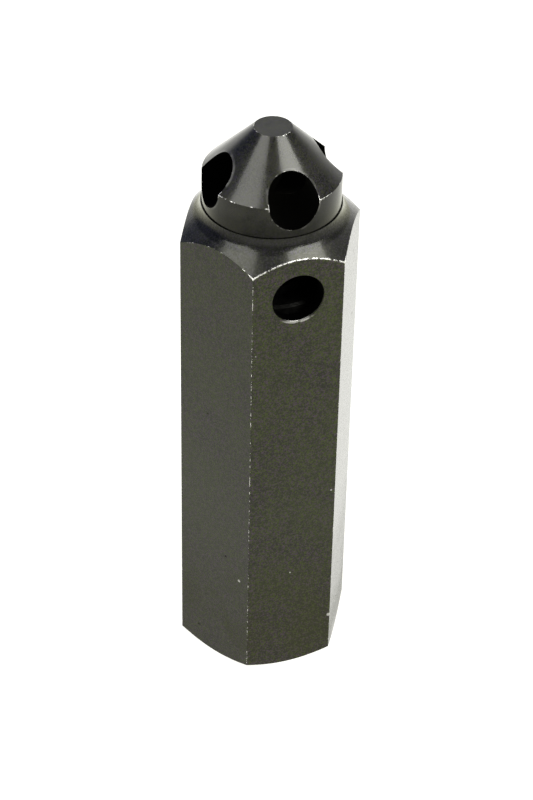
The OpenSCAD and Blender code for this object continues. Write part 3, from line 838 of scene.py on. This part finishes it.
plug_finish, tree, point = new_finish("oil_blackened_thread")
px, py, pz = split(tree, point)
radius = distance_2d(tree, px, py)
turns_round = math_node(tree, "DIVIDE", math_node(tree, "ARCTAN2", py, px), 2 * math.pi)
climb = math_node(tree, "SUBTRACT", math_node(tree, "DIVIDE", pz, THREAD_PITCH), turns_round)
saw = math_node(tree, "PINGPONG", climb, 0.5)
on_wall = remap(tree, radius, PLUG_RADIUS - 0.12 * MM, PLUG_RADIUS - 0.04 * MM)
mottling = place_group(tree, mottle, Vector=point, Cloud_Scale=320.0)
in_socket = math_node(tree, "LESS_THAN", pz, SOCKET_DEPTH)
key_rub = times(tree, fade(tree, radius, SOCKET_REACH - 0.4 * MM, SOCKET_REACH), in_socket)
wear_amount = plus(tree, 0.35, times(tree, key_rub, 0.5))
wear = place_group(tree, edge_wear, Vector=point, Radius=0.00016, Amount=wear_amount)
crest_gaps = remap(tree, mottling["Grain"], 0.2, 0.8, 0.2, 0.8)
bare = greatest(tree, wear["Mask"], times(tree, on_wall, remap(tree, saw, 0.40, 0.48), crest_gaps))
oxide = mix_colour(tree, mottling["Cloud"], TURNED_DARK, TURNED_PALE)
oxide = mix_colour(tree, times(tree, mottling["Grain"], 0.5), oxide, FLAT_OLIVE)
fine = bump(tree, mottling["Height"], 0.2, 0.012 * MM)
paint(tree, {
    "Base Color": mix_colour(tree, bare, oxide, BARE_STEEL),
    "Metallic": bare,
    "Roughness": remap(tree, mottling["Grain"], 0.0, 1.0, 0.26, 0.40),
    "Specular IOR Level": 0.36,
    "Specular Tint": OXIDE_TINT,
    "Normal": bump(tree, times(tree, saw, on_wall), 0.8, 0.45 * MM, fine),
})
finish_node("adjuster_plug", plug_finish)
print("plug finish nodes:", len(tree.nodes))

# %% [markdown]
# ## Rings, clip, seal and pellet
# Retaining rings are stamped from spring strip and phosphated: a dark, dry grey with a bright sheared edge. The
# seal is moulded rubber with a faint bloom, and the pellet is sawn from nylon rod and has taken up a little oil.

# %% Rings and clip
STRIP_OIL = (0.05, 0.042, 0.032, 1.0)


def stamped_strip(name, tone):
    """Phosphated spring strip with bright sheared edges."""
    material, tree, point = new_finish(name)
    grit = noise(tree, point, 7000.0, 3.0, 0.7)
    stain = place_group(tree, oil_stain, Vector=point, Scale=500.0, Amount=0.45)["Mask"]
    wear = place_group(tree, edge_wear, Vector=point, Radius=0.00009, Amount=0.75, Breakup_Scale=2400.0)["Mask"]
    colour = mix_colour(tree, remap(tree, grit, 0.35, 0.65), rgba(tone, 0.6), rgba(tone))
    colour = mix_colour(tree, times(tree, stain, 0.6), colour, STRIP_OIL)
    paint(tree, {
        "Base Color": mix_colour(tree, wear, colour, BARE_STEEL),
        "Metallic": 1.0,
        "Roughness": remap(tree, grit, 0.3, 0.7, 0.38, 0.60),
        "Normal": bump(tree, grit, 0.25, 0.01 * MM),
    })
    return material


ring_finish = stamped_strip("phosphated_ring_steel", (0.24, 0.24, 0.25))
clip_finish = stamped_strip("blued_clip_steel", (0.20, 0.23, 0.30))
finish_node("bush_ring", ring_finish)
finish_node("plug_ring", ring_finish)
finish_node("spindle_clip", clip_finish)
print("rings and clip finished")

# %% Seal and pellet
RUBBER_BLACK = (0.012, 0.012, 0.012, 1.0)
RUBBER_BLOOM = (0.045, 0.044, 0.042, 1.0)
NYLON_CUT = (0.72, 0.69, 0.58, 1.0)
NYLON_PALE = (0.84, 0.81, 0.71, 1.0)
NYLON_OIL = (0.36, 0.27, 0.14, 1.0)

seal_finish, tree, point = new_finish("moulded_seal_rubber")
bloom = noise(tree, point, 900.0, 4.0, 0.6)
paint(tree, {
    "Base Color": mix_colour(tree, remap(tree, bloom, 0.45, 0.70), RUBBER_BLACK, RUBBER_BLOOM),
    "Roughness": remap(tree, bloom, 0.35, 0.65, 0.42, 0.66),
    "Normal": bump(tree, noise(tree, point, 9000.0, 2.0, 0.5), 0.2, 0.006 * MM),
})
finish_node("dust_ring", seal_finish)

pellet_finish, tree, point = new_finish("sawn_nylon")
saw_marks = place_group(tree, scratches, Vector=point, Stretch=(900.0, 600.0, 8000.0))["Lines"]
stain = place_group(tree, oil_stain, Vector=point, Scale=900.0, Amount=0.55)["Mask"]
nylon_tone = mix_colour(tree, remap(tree, saw_marks, 0.3, 0.7), NYLON_CUT, NYLON_PALE)
paint(tree, {
    "Base Color": mix_colour(tree, times(tree, stain, 0.5), nylon_tone, NYLON_OIL),
    "Roughness": remap(tree, saw_marks, 0.3, 0.7, 0.40, 0.56),
    "Subsurface Weight": 0.15,
    "Subsurface Radius": (0.0006, 0.0005, 0.0004),
    "Normal": bump(tree, saw_marks, 0.3, 0.01 * MM),
})
finish_node("lock_pellet", pellet_finish)
print("seal and pellet finished")

# %% [markdown]
# ## The three springs
# A compression spring has one close turn at each end, ground flat to stand square, and open turns between. Each
# stretch is a small circle carried round by a Screw modifier, so the pitch is a plain number, and the stretches
# are joined where their circles meet. A curve with a bevel could follow the same helix, but it would have to be
# made into a mesh before its ends could be ground, while a mesh is cut flat and closed in two steps.

# %% Spring helpers
WIRE_SIDES = 14
TURN_STEPS = 36
GRIND_SHARE = 0.30
CLOSE_GAP = 0.1 * MM
MERGE_WITHIN = 0.002 * MM


def screw_stretch(mean_radius, wire_radius, low, turns, rise):
    """Whole turns of round wire, climbing from low by rise in all, as one applied mesh."""
    deselect_all()
    bpy.ops.mesh.primitive_circle_add(vertices=WIRE_SIDES, radius=wire_radius, rotation=(math.pi / 2, 0, 0))
    stretch = bpy.context.object
    bpy.ops.object.transform_apply(location=False, rotation=True, scale=False)
    bpy.ops.object.mode_set(mode="EDIT")
    bpy.ops.mesh.select_all(action="SELECT")
    bpy.ops.transform.translate(value=(mean_radius, 0, low))
    bpy.ops.object.mode_set(mode="OBJECT")
    screw = stretch.modifiers.new("turns", "SCREW")
    screw.axis = "Z"
    screw.angle = 2 * math.pi * turns
    screw.screw_offset = rise
    screw.steps = TURN_STEPS * turns
    screw.render_steps = TURN_STEPS * turns
    screw.use_merge_vertices = False
    bpy.ops.object.modifier_apply(modifier=screw.name)
    return stretch


def grind(level, upper):
    """Cuts the wire flat at a level, clears what is beyond it, and closes the cut."""
    bpy.ops.mesh.select_all(action="SELECT")
    sides = {"clear_outer": upper, "clear_inner": not upper}
    bpy.ops.mesh.bisect(plane_co=(0, 0, level), plane_no=(0, 0, 1), threshold=MERGE_WITHIN, **sides)
    bpy.ops.mesh.select_all(action="SELECT")
    bpy.ops.mesh.fill_holes(sides=0)


def spring_stretches(mean_radius, wire, length, counts):
    """Stretches of a spring standing on z = 0. The end ones are close, and the others share what is left."""
    start = GRIND_SHARE * wire
    close_rise = wire + CLOSE_GAP
    open_pitch = (length - 2 * start - 2 * close_rise) / sum(counts[1:-1])
    stretches, level = [], start
    for place, turns in enumerate(counts):
        rise = close_rise if place in (0, len(counts) - 1) else open_pitch * turns
        stretches.append((screw_stretch(mean_radius, wire / 2, level, turns, rise), level))
        level += rise
    return stretches


def join_stretches(name, stretches, ground_below=None, ground_above=None):
    """Joins neighbouring stretches into one closed coil and grinds the ends that are given a level."""
    deselect_all()
    for part, start in stretches:
        part.select_set(True)
    bpy.context.view_layer.objects.active = stretches[0][0]
    bpy.ops.object.join()
    coil = bpy.context.object
    coil.name = name
    bpy.ops.object.mode_set(mode="EDIT")
    bpy.ops.mesh.select_all(action="SELECT")
    bpy.ops.mesh.remove_doubles(threshold=MERGE_WITHIN)
    bpy.ops.mesh.fill_holes(sides=0)
    if ground_below is not None:
        grind(ground_below, upper=False)
    if ground_above is not None:
        grind(ground_above, upper=True)
    bpy.ops.mesh.select_all(action="SELECT")
    bpy.ops.mesh.normals_make_consistent(inside=False)
    bpy.ops.object.mode_set(mode="OBJECT")
    bpy.ops.object.shade_smooth_by_angle(angle=math.radians(35))
    return coil


def stand(spring, place, turn=(0, 0, 0)):
    """Moves a spring to its seat and puts the place into its mesh."""
    deselect_all()
    spring.select_set(True)
    bpy.context.view_layer.objects.active = spring
    spring.rotation_euler = turn
    spring.location = place
    bpy.ops.object.transform_apply(location=True, rotation=True, scale=True)


print("spring helpers ready")

# %% [markdown]
# The main spring stands on the spring seat, the return spring stands on the guide bush's ring, and the little
# block spring lies across the hammer behind the release block. Each rides on a body of its own. The
# main spring is squeezed from both ends, by the hammer above and by the adjuster below, and a piece can follow
# only one joint, so it is made as a lower and an upper coil that meet after the second turn.

# %% Springs
MAIN_REST = (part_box("main_spring")[0][2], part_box("main_spring")[1][2])
RETURN_REST = (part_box("return_spring")[0][2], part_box("return_spring")[1][2])
BLOCK_REST = (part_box("block_spring")[0][0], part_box("block_spring")[1][0])
BLOCK_SPRING_HEIGHT = (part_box("block_spring")[0][2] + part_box("block_spring")[1][2]) / 2
MAIN_RADIUS, MAIN_WIRE, MAIN_TURNS = 4.0 * MM, 1.2 * MM, (1, 1, 3, 1)
RETURN_RADIUS, RETURN_WIRE, RETURN_TURNS = 5.6 * MM, 0.7 * MM, (1, 2, 1)
BLOCK_RADIUS, BLOCK_WIRE, BLOCK_TURNS = 0.9 * MM, 0.3 * MM, (1, 3, 1)
LOWER_STRETCHES = 2


def seat_spring(spring, node, body):
    """Rides a spring on its body in place of its CAD stand-in, with a mesh of its own."""
    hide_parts(node)
    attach(spring, body)
    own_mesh(spring)


main_length = MAIN_REST[1] - MAIN_REST[0]
main_parts = spring_stretches(MAIN_RADIUS, MAIN_WIRE, main_length, MAIN_TURNS)
main_lower = join_stretches("main_coil_lower", main_parts[:LOWER_STRETCHES], ground_below=0.0)
main_upper = join_stretches("main_coil_upper", main_parts[LOWER_STRETCHES:], ground_above=main_length)
stand(main_lower, (0, 0, MAIN_REST[0]))
stand(main_upper, (0, 0, MAIN_REST[0]))

return_length = RETURN_REST[1] - RETURN_REST[0]
return_parts = spring_stretches(RETURN_RADIUS, RETURN_WIRE, return_length, RETURN_TURNS)
return_coil = join_stretches("return_coil", return_parts, ground_below=0.0, ground_above=return_length)
stand(return_coil, (0, 0, RETURN_REST[0]))

block_length = BLOCK_REST[1] - BLOCK_REST[0]
block_parts = spring_stretches(BLOCK_RADIUS, BLOCK_WIRE, block_length, BLOCK_TURNS)
block_coil = join_stretches("block_coil", block_parts, ground_below=0.0, ground_above=block_length)
stand(block_coil, (BLOCK_REST[0], 0, BLOCK_SPRING_HEIGHT), (0, math.pi / 2, 0))

# %% [markdown]
# Spring wire is drawn through a die, which leaves lines along it, and is then tempered to a dark blue-brown. On a
# helix the wire runs nearly level, so lines that depend only on radius and height follow it. The block spring
# lies on its side, so its pattern is turned with it.

# %% Spring wire finish
TEMPER_BROWN = (0.26, 0.19, 0.15, 1.0)
DRAWN_BRIGHT = (0.50, 0.51, 0.53, 1.0)
WIRE_OIL = (0.06, 0.05, 0.035, 1.0)


def spring_wire(name, tone, lying=False):
    """Drawn and tempered spring wire, with oil in its folds and bright contact faces at the ends."""
    material, tree, point = new_finish(name)
    pattern, end_way = point, 2
    if lying:
        px, py, pz = split(tree, point)
        turn = tree.nodes.new("ShaderNodeCombineXYZ")
        across = math_node(tree, "SUBTRACT", pz, BLOCK_SPRING_HEIGHT)
        pattern, end_way = fill(tree, turn, {"X": across, "Y": py, "Z": px}, "Vector"), 0
    drawn = place_group(tree, turning, Vector=pattern, Ring_Scale=16000.0)["Rings"]
    temper = noise(tree, point, 420.0, 3.0, 0.5)
    stain = place_group(tree, oil_stain, Vector=point, Scale=600.0, Amount=0.5)["Mask"]
    colour = mix_colour(tree, remap(tree, temper, 0.35, 0.65), rgba(tone), TEMPER_BROWN)
    colour = mix_colour(tree, remap(tree, drawn, 0.35, 0.75, 0.0, 0.6), colour, DRAWN_BRIGHT)
    colour = mix_colour(tree, times(tree, stain, 0.55), colour, WIRE_OIL)
    endwise = math_node(tree, "ABSOLUTE", split(tree, smooth_normal(tree))[end_way])
    ground_face = math_node(tree, "GREATER_THAN", endwise, 0.995)
    paint(tree, {
        "Base Color": mix_colour(tree, times(tree, ground_face, 0.6), colour, BARE_STEEL),
        "Metallic": 1.0,
        "Roughness": remap(tree, drawn, 0.3, 0.7, 0.22, 0.38),
        "Coat Weight": times(tree, stain, 0.5),
        "Coat Roughness": 0.1,
        "Normal": bump(tree, drawn, 0.25, 0.006 * MM),
    })
    return material


tempered_wire = spring_wire("tempered_spring_wire", (0.24, 0.27, 0.33))
fine_wire = spring_wire("fine_spring_wire", (0.42, 0.43, 0.45), lying=True)
for coil in (main_lower, main_upper, return_coil, block_coil):
    coil.data.materials.clear()
    coil.data.materials.append(fine_wire if coil is block_coil else tempered_wire)

# %% Springs on their joints
seat_spring(main_lower, "main_spring", "spring_seat")
seat_spring(main_upper, "main_spring", "barrel")
seat_spring(return_coil, "return_spring", "barrel")
seat_spring(block_coil, "block_spring", "hammer")
